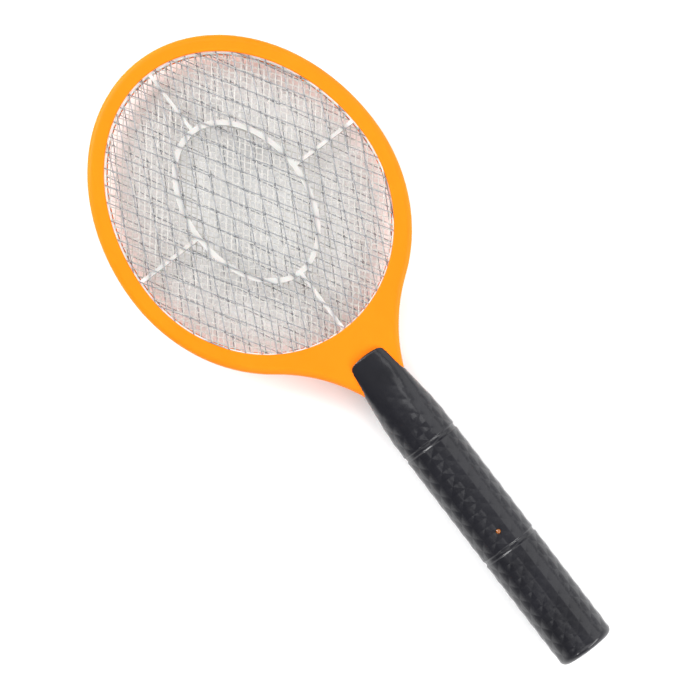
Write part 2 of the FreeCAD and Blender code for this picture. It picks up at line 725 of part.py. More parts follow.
def push_button():
    cap = stadium(BUTTON_LENGTH, BUTTON_WIDTH, BUTTON_FACE_Z, BUTTON_TOP_Z, BUTTON_Y)
    rim = [e for e in cap.Edges if e.BoundBox.ZMax < BUTTON_FACE_Z + 0.01]
    cap = cap.makeFillet(0.8, rim)
    margin = 2 * FLANGE_MARGIN
    flange = stadium(BUTTON_LENGTH + margin, BUTTON_WIDTH + margin, FLANGE_Z, BUTTON_TOP_Z, BUTTON_Y)
    stem = rod(0, BUTTON_Y, BUTTON_TOP_Z - 0.5, PLUNGER_SPAN[0], STEM_RADIUS)
    return cap.fuse([flange, stem])


def key_switch():
    half = SWITCH_SIDE / 2
    low = BOARD_BOTTOM - SWITCH_HEIGHT
    body = box(-half, half, BUTTON_Y - half, BUTTON_Y + half, low, BOARD_BOTTOM)
    return body.cut(rod(0, BUTTON_Y, low - 1, SWITCH_BORE_TOP, PLUNGER_RADIUS + PLUNGER_FIT))


def switch_plunger():
    return rod(0, BUTTON_Y, *PLUNGER_SPAN, PLUNGER_RADIUS)


# ---- Fasteners and leads -----------------------------------------------------------------

def screw(x, y, seat, length):
    """Self-tapping screw with a cross recess, its head down."""
    head = rod(x, y, seat - SCREW_HEAD_HEIGHT, seat, SCREW_HEAD_RADIUS)
    low = seat - SCREW_HEAD_HEIGHT - 1
    for dx, dy in ((1.5, 0.3), (0.3, 1.5)):
        head = head.cut(box(x - dx, x + dx, y - dy, y + dy, low, seat - 0.7))
    return head.fuse(rod(x, y, seat, seat + length, SCREW_RADIUS))


def handle_screws():
    return Part.makeCompound([screw(x, y, HANDLE_SEAT, 18.5) for x, y in HANDLE_SCREWS])


def head_screws():
    seat = HEAD_SEAT + AXIS_Z - HEAD_HALF_THICK
    return Part.makeCompound([screw(x, y, seat, 11.5) for x, y in HEAD_SCREWS])


def lead(name, points):
    """Insulated lead: straight runs joined by the largest tangent arcs that they allow."""
    points = [V(*p) for p in points]
    edges, length, at = [], 0.0, points[0]
    for before, corner, after in zip(points, points[1:], points[2:]):
        back, ahead = (before - corner), (after - corner)
        run = min(back.Length, ahead.Length)
        back.normalize()
        ahead.normalize()
        turn = math.pi - back.getAngle(ahead)
        setback = ARC_SHARE * run
        radius = setback / math.tan(turn / 2)
        first, last = corner + back * setback, corner + ahead * setback
        inward = (back + ahead).normalize()
        middle = corner + inward * (radius / math.cos(turn / 2) - radius)
        edges.append(Part.LineSegment(at, first).toShape())
        edges.append(Part.Arc(first, middle, last).toShape())
        length += at.distanceToPoint(first) + radius * turn
        at = last
        print("   ", name, "arc radius", round(radius, 1))
    edges.append(Part.LineSegment(at, points[-1]).toShape())
    length += at.distanceToPoint(points[-1])
    path = Part.Wire(edges)
    start = (points[1] - points[0]).normalize()
    section = Part.Wire([Part.makeCircle(LEAD_RADIUS, points[0], start)])
    tube = path.makePipeShell([section], True, True)
    ideal = math.pi * LEAD_RADIUS ** 2 * length
    print("   ", name, "length", round(length, 1), "volume ratio", round(tube.Volume / ideal, 4))
    save(name, tube)


def contact_strips():
    """Flat strips that carry the leads to the two guard grids and to the centre mesh."""
    edge = OPENING_Y - OPENING_LOWER - GRID_REACH
    far = edge - 0.6
    low = GRID_INNER_Z + 0.1
    for front, name in ((True, "front_grid_contact"), (False, "rear_grid_contact")):
        strip = box(3.0, 7.0, far - 7, far, low, low + 0.4)
        foot = box(3.0, 7.0, far - 7, far - 6.6, low - 3, low + 0.4)
        save(name, place_half(strip.fuse(foot).removeSplitter(), front))
    save("mesh_contact", box(-7.5, -3.5, far - 8, far, AXIS_Z - 0.3, AXIS_Z + 0.3))


def leads():
    strip_y = OPENING_Y - OPENING_LOWER - GRID_REACH - 0.6
    contact_z = GRID_INNER_Z - 2
    for side, pole in ((-1, "positive"), (1, "negative")):
        lead("battery_lead_" + pole, [
            (side * CELL_X, 64.3, 24.8), (side * 6.0, 68.4, 24.4), (side * 5.0, 73.6, 22.6),
            (side * 5.0, 78.8, 20.2), (side * 5.0, 83.6, 18.5), (side * 5.0, 87.0, 17.8)])
    lead("high_voltage_lead", [
        (-4.0, 141.0, 17.8), (-4.2, 149.0, 19.2), (-4.2, 157.0, 20.0), (-5.2, 168.0, 20.4),
        (-5.6, 183.0, 19.6), (-5.6, 199.0, 18.6), (-5.2, 213.0, 17.6), (-5.5, 223.6, 17.0)])
    lead("front_ground_lead", [
        (3.6, 141.4, 17.8), (4.2, 149.0, 20.2), (4.2, 157.0, 21.4), (5.2, 168.0, 21.4),
        (5.6, 183.0, 20.6), (5.6, 199.0, 20.8), (5.0, 214.0, 20.8),
        (5.0, strip_y - 7.1, AXIS_Z + contact_z)])
    lead("rear_ground_lead", [
        (5.6, 141.4, 17.8), (5.2, 148.0, 18.6), (4.4, 155.0, 17.6), (4.6, 162.5, 16.0),
        (5.4, 172.0, 15.0), (5.6, 184.0, 13.8), (5.6, 199.0, 13.2), (5.0, 214.0, 13.2),
        (5.0, strip_y - 7.1, AXIS_Z - contact_z)])


def build():
    os.makedirs("parts", exist_ok=True)
    for front, side in ((True, "front"), (False, "rear")):
        save(side + "_head_frame", head_frame(front))
        save(side + "_spacer_frame", spacer_frame(front))
        save(side + "_guard_grid", guard_grid(front))
    save("center_electrode_mesh", electrode_mesh())
    contact_strips()

    outer, cavity, space = handle_outer(), handle_cavity(), head_space()
    save("front_handle_shell", front_handle_shell(outer, cavity, space))
    save("rear_handle_shell", rear_handle_shell(outer, cavity, space))
    save("battery_cover", battery_cover(outer, cavity))

    save("battery_cell_1", battery_cell(-CELL_X, True))
    save("battery_cell_2", battery_cell(CELL_X, False))
    spring_1_end = BAY_END - CONTACT_THICK - NUB_HEIGHT - CELL_CAN
    spring_2_start = BRIDGE_Y + CONTACT_THICK + NUB_HEIGHT + CELL_CAN
    save("battery_springs", Part.makeCompound([
        battery_spring(-CELL_X, BRIDGE_Y + CONTACT_THICK, spring_1_end, True),
        battery_spring(CELL_X, spring_2_start, BAY_END - CONTACT_THICK, False)]))
    save("bridge_contact", contact_plate(-CONTACT_OUTER, CONTACT_OUTER, BRIDGE_Y))
    save("positive_terminal", terminal(-1))
    save("negative_terminal", terminal(1))

    save("circuit_board", circuit_board())
    save("board_screws", board_screws())
    save("transformer_core", transformer_core())
    save("transformer_bobbin", transformer_bobbin())
    save("transformer_winding", transformer_winding())
    save("resistors", resistors())
    save("rectifier_diodes", rectifier_diodes())
    save("storage_capacitor", storage_capacitor())
    save("boost_capacitors", boost_capacitors())
    save("switching_transistor", switching_transistor())
    save("indicator_lamp", indicator_lamp())

    save("push_button", push_button())
    save("switch_plunger", switch_plunger())
    save("key_switch", key_switch())
    save("handle_screws", handle_screws())
    save("head_screws", head_screws())
    leads()


build()
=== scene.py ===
import math
import random

import bmesh
import bpy
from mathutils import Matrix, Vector


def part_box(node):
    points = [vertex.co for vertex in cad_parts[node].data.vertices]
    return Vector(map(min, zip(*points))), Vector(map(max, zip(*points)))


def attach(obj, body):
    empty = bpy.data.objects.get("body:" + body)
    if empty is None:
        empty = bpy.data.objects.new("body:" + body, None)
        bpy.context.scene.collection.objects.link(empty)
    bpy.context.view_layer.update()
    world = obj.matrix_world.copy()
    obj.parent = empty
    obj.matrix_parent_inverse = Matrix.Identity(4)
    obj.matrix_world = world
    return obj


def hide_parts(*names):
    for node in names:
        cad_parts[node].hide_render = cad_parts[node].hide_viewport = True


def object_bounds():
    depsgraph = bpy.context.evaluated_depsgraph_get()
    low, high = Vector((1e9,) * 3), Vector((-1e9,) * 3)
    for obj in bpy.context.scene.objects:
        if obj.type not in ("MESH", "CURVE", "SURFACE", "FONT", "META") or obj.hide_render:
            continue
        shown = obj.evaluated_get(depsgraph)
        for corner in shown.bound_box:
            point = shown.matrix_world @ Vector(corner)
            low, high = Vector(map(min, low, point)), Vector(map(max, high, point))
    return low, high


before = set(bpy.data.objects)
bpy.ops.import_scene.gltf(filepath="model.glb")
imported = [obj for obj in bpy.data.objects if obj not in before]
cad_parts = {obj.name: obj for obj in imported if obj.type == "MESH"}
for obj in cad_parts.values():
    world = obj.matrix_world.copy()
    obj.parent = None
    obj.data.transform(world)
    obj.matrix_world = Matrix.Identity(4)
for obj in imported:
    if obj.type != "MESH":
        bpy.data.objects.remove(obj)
CAD_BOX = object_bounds()

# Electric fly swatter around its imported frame. Everything is in metres, in the CAD's frame.
# Along the racket a place is named by its station: the distance from the butt of the handle.

MM = 0.001
BUTT_Y = CAD_BOX[0].y
LENGTH = CAD_BOX[1].y - BUTT_Y
AXIS_Z = sum(v.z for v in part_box("center_electrode_mesh")) / 2
SEED = 7


def row_y(station):
    return BUTT_Y + station


# ---- Mesh helpers --------------------------------------------------------------------------

def new_object(name, mesh, material, body="racket", replaced=()):
    obj = bpy.data.objects.new(name, mesh)
    bpy.context.scene.collection.objects.link(obj)
    obj.data.materials.clear()
    obj.data.materials.append(material)
    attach(obj, body)
    if replaced:
        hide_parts(*replaced)
    return obj


def mesh_from(verts, faces):
    mesh = bpy.data.meshes.new("mesh")
    mesh.from_pydata(verts, [], faces)
    mesh.validate()
    mesh.update()
    return mesh


class MeshPile:
    """Collects closed pieces that become one mesh."""

    def __init__(self):
        self.verts = []
        self.faces = []

    def add(self, verts, faces):
        base = len(self.verts)
        self.verts += verts
        self.faces += [tuple(base + i for i in face) for face in faces]

    def bar(self, start, end, across, up):
        """Bar between two points; across and up are half-width vectors of its section."""
        corners = [(1, 1), (-1, 1), (-1, -1), (1, -1)]
        verts = [p + across * i + up * j for p in (start, end) for i, j in corners]
        faces = [(3, 2, 1, 0), (4, 5, 6, 7)]
        faces += [(i, (i + 1) % 4, 4 + (i + 1) % 4, 4 + i) for i in range(4)]
        self.add(verts, faces)

    def tube(self, points, radius, sides=8):
        """Round wire along points that lie nearly on one line."""
        along = (points[-1] - points[0]).normalized()
        side = along.cross(Vector((0, 0, 1))).normalized()
        top = side.cross(along)
        verts = []
        for p in points:
            for i in range(sides):
                a = 2 * math.pi * (i + 0.5) / sides
                verts.append(p + side * (radius * math.cos(a)) + top * (radius * math.sin(a)))
        faces = [tuple(range(sides - 1, -1, -1))]
        last = sides * (len(points) - 1)
        faces.append(tuple(range(last, last + sides)))
        for k in range(len(points) - 1):
            a, b = k * sides, (k + 1) * sides
            faces += [(a + i, a + (i + 1) % sides, b + (i + 1) % sides, b + i) for i in range(sides)]
        self.add(verts, faces)

    def bead(self, centre, rx, ry, rz, turn, rings=4, sides=8):
        """Flattened ball whose rx axis is turned about Z."""
        c, s = math.cos(turn), math.sin(turn)
        verts = [centre + Vector((0, 0, -rz))]
        for k in range(1, rings):
            lat = math.pi * k / rings - math.pi / 2
            for i in range(sides):
                a = 2 * math.pi * i / sides
                x, y = rx * math.cos(lat) * math.cos(a), ry * math.cos(lat) * math.sin(a)
                verts.append(centre + Vector((x * c - y * s, x * s + y * c, rz * math.sin(lat))))
        verts.append(centre + Vector((0, 0, rz)))
        top = len(verts) - 1
        faces = [(0, 1 + (i + 1) % sides, 1 + i) for i in range(sides)]
        for k in range(rings - 2):
            a, b = 1 + k * sides, 1 + (k + 1) * sides
            faces += [(a + i, a + (i + 1) % sides, b + (i + 1) % sides, b + i) for i in range(sides)]
        a = 1 + (rings - 2) * sides
        faces += [(a + i, a + (i + 1) % sides, top) for i in range(sides)]
        self.add(verts, faces)

    def mesh(self):
        return mesh_from([tuple(v) for v in self.verts], self.faces)


# ---- Materials -----------------------------------------------------------------------------

class Nodes:
    """Short way to write a procedural material."""

    def __init__(self, name):
        self.material = bpy.data.materials.new(name)
        self.material.use_nodes = True
        self.tree = self.material.node_tree
        self.bsdf = self.tree.nodes["Principled BSDF"]
        self.place = self.tree.nodes.new("ShaderNodeTexCoord").outputs["Object"]

    def link(self, a, b):
        self.tree.links.new(a, b)

    def noise(self, scale, detail=4.0, rough=0.55, stretch=None):
        node = self.tree.nodes.new("ShaderNodeTexNoise")
        node.inputs["Scale"].default_value = scale
        node.inputs["Detail"].default_value = detail
        node.inputs["Roughness"].default_value = rough
        source = self.place
        if stretch:
            mapping = self.tree.nodes.new("ShaderNodeMapping")
            mapping.inputs["Scale"].default_value = stretch
            self.link(source, mapping.inputs["Vector"])
            source = mapping.outputs["Vector"]
        self.link(source, node.inputs["Vector"])
        return node.outputs["Fac"]

    def ramp(self, fac, stops):
        """stops: (position, colour or grey level)"""
        node = self.tree.nodes.new("ShaderNodeValToRGB")
        elements = node.color_ramp.elements
        while len(elements) < len(stops):
            elements.new(0.5)
        for element, (position, colour) in zip(elements, stops):
            element.position = position
            element.color = (*colour, 1) if isinstance(colour, tuple) else (colour,) * 3 + (1,)
        self.link(fac, node.inputs["Fac"])
        return node.outputs["Color"]

    def mix(self, fac, a, b):
        """Colour a where fac is 0, and colour b where it is 1."""
        node = self.tree.nodes.new("ShaderNodeMix")
        node.data_type = "RGBA"
        for source, name in ((fac, "Factor"), (a, "A"), (b, "B")):
            self.link(source, next(s for s in node.inputs if s.name == name and s.enabled))
        return next(s for s in node.outputs if s.enabled)

    def add(self, a, b, scale_b):
        """a + b * scale_b"""
        node = self.tree.nodes.new("ShaderNodeMath")
        node.operation = "MULTIPLY_ADD"
        self.link(b, node.inputs[0])
        node.inputs[1].default_value = scale_b
        self.link(a, node.inputs[2])
        return node.outputs[0]

    def bump(self, height, strength, distance):
        node = self.tree.nodes.new("ShaderNodeBump")
        node.inputs["Strength"].default_value = strength
        node.inputs["Distance"].default_value = distance
        self.link(height, node.inputs["Height"])
        self.link(node.outputs["Normal"], self.bsdf.inputs["Normal"])

    def colour(self, source):
        self.link(source, self.bsdf.inputs["Base Color"])

    def roughness(self, fac, low, high):
        self.link(self.ramp(fac, ((0.3, low), (0.7, high))), self.bsdf.inputs["Roughness"])

    def set(self, **values):
        names = {"metallic": "Metallic", "specular": "Specular IOR Level", "coat": "Coat Weight",
                 "coat_roughness": "Coat Roughness", "transmission": "Transmission Weight",
                 "ior": "IOR", "sheen": "Sheen Weight", "roughness": "Roughness",
                 "subsurface": "Subsurface Weight", "subsurface_scale": "Subsurface Scale",
                 "anisotropy": "Anisotropic", "emission": "Emission Strength"}
        for key, value in values.items():
            self.bsdf.inputs[names[key]].default_value = value
        return self


def plastic(name, dark, light, rough=(0.35, 0.45), grain=0.00012, grain_scale=1600.0, **extra):
    """Moulded plastic: fine spark-eroded grain, slow colour drift and light scuffs."""
    n = Nodes(name)
    drift = n.noise(28.0, 3.0)
    n.colour(n.ramp(drift, ((0.35, dark), (0.65, light))))
    fine = n.noise(grain_scale, 2.0, 0.6)
    scuffs = n.noise(300.0, 5.0, 0.7, stretch=(1.0, 0.12, 1.0))
    n.roughness(scuffs, *rough)
    n.bump(n.add(fine, scuffs, 0.35), 0.5, grain)
    n.set(**extra)
    return n.material


def spacer_plastic():
    """White plastic of the spacer frames, with painted light along the lip round the opening: a much
    lighter colour there.
    """
    n = Nodes("white_plastic")
    centre_y = OPENING_Y + (OPENING_UPPER - OPENING_LOWER) / 2
    half_y = (OPENING_UPPER + OPENING_LOWER) / 2
    mapping = n.tree.nodes.new("ShaderNodeMapping")
    mapping.inputs["Location"].default_value = (0, -centre_y / half_y, 0)
    mapping.inputs["Scale"].default_value = (1 / OPENING_HALF_WIDTH, 1 / half_y, 0)
    n.link(n.place, mapping.inputs["Vector"])
    reach = n.tree.nodes.new("ShaderNodeVectorMath")
    reach.operation = "LENGTH"
    n.link(mapping.outputs["Vector"], reach.inputs[0])
    body = n.ramp(n.noise(28.0, 3.0), ((0.35, (0.48, 0.47, 0.45)), (0.65, (0.53, 0.52, 0.5))))
    # Painted light: the lip's colour is far lighter than the body's, standing in for light on the lip
    # where the head's edge shades it.
    lip = n.ramp(n.noise(60.0, 3.0), ((0.35, (0.9, 0.88, 0.86)), (0.65, (0.94, 0.92, 0.9))))
    n.colour(n.mix(n.ramp(reach.outputs["Value"], ((0.94, 0.0), (0.97, 1.0))), body, lip))
    scuffs = n.noise(300.0, 5.0, 0.7, stretch=(1.0, 0.12, 1.0))
    n.roughness(scuffs, 0.38, 0.5)
    n.bump(n.add(n.noise(1600.0, 2.0, 0.6), scuffs, 0.35), 0.5, 0.00008)
    n.set(subsurface=0.15, subsurface_scale=0.003)
    return n.material


def metal(name, dark, light, rough=(0.25, 0.42), stretch=(1.0, 1.0, 1.0), scale=900.0, **extra):
    """Drawn or rolled metal with fine lines and a faint tarnish."""
    n = Nodes(name)
    tarnish = n.noise(160.0, 4.0)
    n.colour(n.ramp(tarnish, ((0.3, dark), (0.7, light))))
    lines = n.noise(scale, 3.0, 0.6, stretch=stretch)
    n.roughness(lines, *rough)
    n.bump(lines, 0.3, 0.00004)
    n.set(metallic=1.0, **extra)
    return n.material


# ---- Stage, camera and light ---------------------------------------------------------------

CAMERA_TURN = math.radians(-37.37)
CAMERA_OFFSET = Vector((-4.55 * MM, 7.7 * MM, 0))
CAMERA_DISTANCE = 2.4
FRAME_WIDTH = 410.8 * MM


def make_camera():
    data = bpy.data.cameras.new("camera")
    data.sensor_width = 36.0
    data.lens = data.sensor_width * CAMERA_DISTANCE / FRAME_WIDTH
    data.clip_end = 20.0
    camera = bpy.data.objects.new("camera", data)
    camera.location = CAMERA_OFFSET + Vector((0, 0, AXIS_Z + CAMERA_DISTANCE))
    camera.rotation_euler = (0, 0, CAMERA_TURN)
    bpy.context.scene.collection.objects.link(camera)
    bpy.context.scene.camera = camera


def make_floor():
    half = 6.0
    mesh = mesh_from([(-half, -half, 0), (half, -half, 0), (half, half, 0), (-half, half, 0)],
                     [(0, 1, 2, 3)])
    floor = bpy.data.objects.new("floor", mesh)
    floor.location.z = CAD_BOX[0].z - 0.02 * MM
    n = Nodes("pale_floor")
    n.colour(n.ramp(n.noise(3.0), ((0.3, 0.93), (0.7, 0.95))))
    n.set(roughness=0.9, specular=0.2, emission=0.05)
    mesh.materials.append(n.material)
    bpy.context.scene.collection.objects.link(floor)


# Name, azimuth from +X towards +Y, elevation, width, height and power of each soft light.
LIGHT_DISTANCE = 1.8
LIGHTS = (
    ("softbox_right", 0, 29, 2.0, 1.4, 15),
    ("softbox_right_high", 0, 58, 2.0, 0.6, 1.3),
    ("softbox_head_end", 80, 55, 1.2, 0.8, 8),
    ("softbox_butt_end", 268, 55, 1.2, 0.8, 8),
    ("softbox_left", 115, 26, 1.4, 0.32, 36),
    ("softbox_near_right", -63, 26, 1.4, 0.3, 23),
    ("strip_near", 226, 30, 0.4, 0.3, 6),
    ("softbox_top", 236, 76, 0.35, 0.35, 0.8),
    ("softbox_neck", 34, 66, 0.6, 0.35, 2.4),
    ("strip_left_high", 202, 60, 0.16, 1.3, 1.8),
)


def soft_light(name, azimuth, elevation, width, height, power):
    """Rectangle light that faces the racket."""
    a, e = math.radians(azimuth), math.radians(elevation)
    out = Vector((math.cos(a) * math.cos(e), math.sin(a) * math.cos(e), math.sin(e)))
    data = bpy.data.lights.new(name, "AREA")
    data.shape = "RECTANGLE"
    data.size, data.size_y = width, height
    data.energy = power
    light = bpy.data.objects.new(name, data)
    light.location = out * LIGHT_DISTANCE
    light.rotation_mode = "QUATERNION"
    light.rotation_quaternion = out.to_track_quat("Z", "Y")
    bpy.context.scene.collection.objects.link(light)


def make_light():
    for values in LIGHTS:
        soft_light(*values)
    world = bpy.data.worlds.new("studio")
    world.use_nodes = True
    world.node_tree.nodes["Background"].inputs["Color"].default_value = (0.97, 0.98, 1.0, 1)
    world.node_tree.nodes["Background"].inputs["Strength"].default_value = 0.28
    bpy.context.scene.world = world
    bpy.context.scene.view_settings.view_transform = "Standard"


# ---- Opening, guard grids and centre mesh --------------------------------------------------

OPENING_Y = row_y(323.4 * MM)
OPENING_HALF_WIDTH = 78.7 * MM
OPENING_UPPER = 101.8 * MM
OPENING_LOWER = 86.4 * MM
GRID_REACH = 3.8 * MM

WIRE_RADIUS = 0.33 * MM
WIRE_WANDER = 0.09 * MM
WELD_HALF_SIZE = (0.72 * MM, 0.56 * MM, 0.56 * MM)
WELD_SCATTER = 0.15
# Side, angles of its two families, their pitches, and one crossing.
GRIDS = (
    ("front", 25.80, -31.47, 9.15 * MM, 9.09 * MM, -1.4 * MM, 328.0 * MM),
    ("rear", 29.84, -27.60, 9.10 * MM, 9.03 * MM, -2.1 * MM, 328.4 * MM),
)

MESH_ANGLES = (38.5, -35.9)
MESH_PITCH = 3.42 * MM
MESH_NODE = Vector((0, row_y(328.0 * MM), 0))
STRAND_HALF_WIDTH = 0.34 * MM
STRAND_HALF_THICK = 0.13 * MM
STRAND_TWIST = 8.0                # degrees, and how far each strand may differ from it
STRAND_TWIST_SCATTER = 4.0
KNUCKLE = (0.52 * MM, 0.4 * MM)   # half lengths along Y and along X


def in_opening(x, y, grow):
    half_y = (OPENING_UPPER if y > OPENING_Y else OPENING_LOWER) + grow
    return (x / (OPENING_HALF_WIDTH + grow)) ** 2 + ((y - OPENING_Y) / half_y) ** 2 < 1


def family_axes(angle_deg):
    """Unit vectors across and along a family of parallel wires."""
    a = math.radians(angle_deg)
    return Vector((math.cos(a), -math.sin(a), 0)), Vector((math.sin(a), math.cos(a), 0))


def chord_in_opening(base, along, grow, step=0.25 * MM):
    """The two ends of the line through base inside the opening's outline."""
    reach = int(2 * LENGTH / step / 4)
    inside = [k * step for k in range(-reach, reach + 1)
              if in_opening(base.x + along.x * k * step, base.y + along.y * k * step, grow)]
    return (base + along * inside[0], base + along * inside[-1]) if len(inside) > 40 else None


def guard_grid(side, angle_a, angle_b, pitch_a, pitch_b, node_x, node_station, materials):
    """Two layers of drawn wire, welded at each crossing."""
    lo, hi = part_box(side + "_guard_grid")
    levels = (lo.z + WIRE_RADIUS, hi.z - WIRE_RADIUS)
    if side == "rear":
        levels = levels[::-1]
    rng = random.Random(SEED + len(side))
    node = Vector((node_x, row_y(node_station), 0))
    wires = MeshPile()
    lines = []
    for angle, pitch, z in ((angle_a, pitch_a, levels[0]), (angle_b, pitch_b, levels[1])):
        across, along = family_axes(angle)
        count = int(2 * OPENING_UPPER / pitch)
        family = []
        for i in range(-count, count + 1):
            shift = i * pitch + rng.uniform(-1, 1) * WIRE_WANDER
            ends = chord_in_opening(node + across * shift, along, GRID_REACH)
            bow = rng.uniform(-1, 1) * WIRE_WANDER
            if ends is None:
                continue
            points = []
            steps = 8
            for k in range(steps + 1):
                t = k / steps
                p = ends[0].lerp(ends[1], t) + across * (bow * math.sin(math.pi * t))
                points.append(Vector((p.x, p.y, z)))
            wires.tube(points, WIRE_RADIUS)
            family.append(node + across * shift)
        lines.append((across, along, family))
    grid = new_object(side + "_grid_wires", wires.mesh(), materials["grid_wire"],
                      replaced=(side + "_guard_grid",))
    grid.data.shade_smooth()
    grid.data.set_sharp_from_angle(angle=math.radians(50))

    welds = MeshPile()
    (across_a, along_a, bases_a), (across_b, _, bases_b) = lines
    z = sum(levels) / 2
    for a in bases_a:
        for b in bases_b:
            reach = (b - a).dot(across_b) / along_a.dot(across_b)
            p = a + along_a * reach
            if in_opening(p.x, p.y, GRID_REACH - 1 * MM):
                size = rng.uniform(1 - WELD_SCATTER, 1 + WELD_SCATTER)
                rx, ry, rz = WELD_HALF_SIZE
                welds.bead(Vector((p.x, p.y, z)), rx * size, ry * size, rz, rng.uniform(0, math.pi))
    beads = new_object(side + "_grid_welds", welds.mesh(), materials["weld"])
    beads.data.shade_smooth()


def electrode_mesh(materials):
    """Expanded metal: twisted strands round long diamonds, with a small knuckle at each node."""
    lo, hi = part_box("center_electrode_mesh")
    z = (lo.z + hi.z) / 2
    (na, ta), (nb, tb) = (family_axes(a) for a in MESH_ANGLES)
    rng = random.Random(SEED)
    cross = na.x * nb.y - na.y * nb.x

    def node(i, j):
        da, db = i * MESH_PITCH, j * MESH_PITCH
        return MESH_NODE + Vector(((da * nb.y - db * na.y) / cross, (na.x * db - nb.x * da) / cross, z))

    pile = MeshPile()
    count = int(3 * OPENING_UPPER / MESH_PITCH)
    for i in range(-count, count):
        for j in range(-count, count):
            p = node(i, j)
            if not in_opening(p.x, p.y, GRID_REACH):
                continue
            pile.bead(p, *KNUCKLE, STRAND_HALF_THICK, math.radians(90), rings=2, sides=6)
            for q, twist in ((node(i + 1, j), STRAND_TWIST), (node(i, j + 1), -STRAND_TWIST)):
                if not in_opening(q.x, q.y, GRID_REACH):
                    continue
                along = (q - p).normalized()
                turn = math.radians(twist + rng.uniform(-1, 1) * STRAND_TWIST_SCATTER)
                flat = Vector((-along.y, along.x, 0))
                up = Vector((0, 0, 1))
                across = flat * math.cos(turn) + up * math.sin(turn)
                normal = up * math.cos(turn) - flat * math.sin(turn)
                pile.bar(p, q, across * STRAND_HALF_WIDTH, normal * STRAND_HALF_THICK)
    new_object("electrode_mesh_strands", pile.mesh(), materials["mesh_metal"],
               replaced=("center_electrode_mesh",))


# ---- Handle skin ---------------------------------------------------------------------------

COLUMNS = 20                      # half widths of a pyramid around the grip
CELLS = 6                         # mesh cells to half a pyramid
PYRAMID_HEIGHT = 0.31 * MM
FLATNESS = 0.1                   # how far the facets are plane rather than curved
GROOVES = (77.0 * MM, 153.3 * MM)
GROOVE_FLOOR = 0.63 * MM           # half width of a groove's floor, and of its whole mouth
GROOVE_MOUTH = 2.1 * MM
GROOVE_DEPTH = 0.63 * MM
SKIN_INSET = 0.03 * MM
BUTT_CORNER = 4.0 * MM
BUTT_DOME = 1.0 * MM
TONGUE_ROUND = 1.4 * MM
SEAM_DEPTH = 0.22 * MM
SEAM_HALF_ANGLE = 0.7
SEAM_END = 187 * MM
BUTT_FADE = (1.5 * MM, 7 * MM)    # the pyramids grow from nothing to full height between these
NECK_FADE = (170 * MM, 204 * MM)  # and fade to NECK_RELIEF between these
NECK_RELIEF = 0.1
FLAT_FADE = (154 * MM, 168 * MM)  # plane facets become curved ones between these
CREASED = (6 * MM, 180 * MM)      # stations whose pyramid creases are sharp
CREASE_ANGLE = 4.5
CORNER_ANGLE = 32
WELD_DISTANCE = 0.0005 * MM


def triangle_weights(u, v, rising):
    """Weights of a lattice cell's four corners (0,0) (1,0) (0,1) (1,1), split along its valley."""
    if rising:
        return (1 - u, u - v, 0, v) if v < u else (1 - v, 0, v - u, u)
    if u + v < 1:
        return (1 - u - v, u, v, 0)
    return (0, 1 - v, 1 - u, u + v - 1)


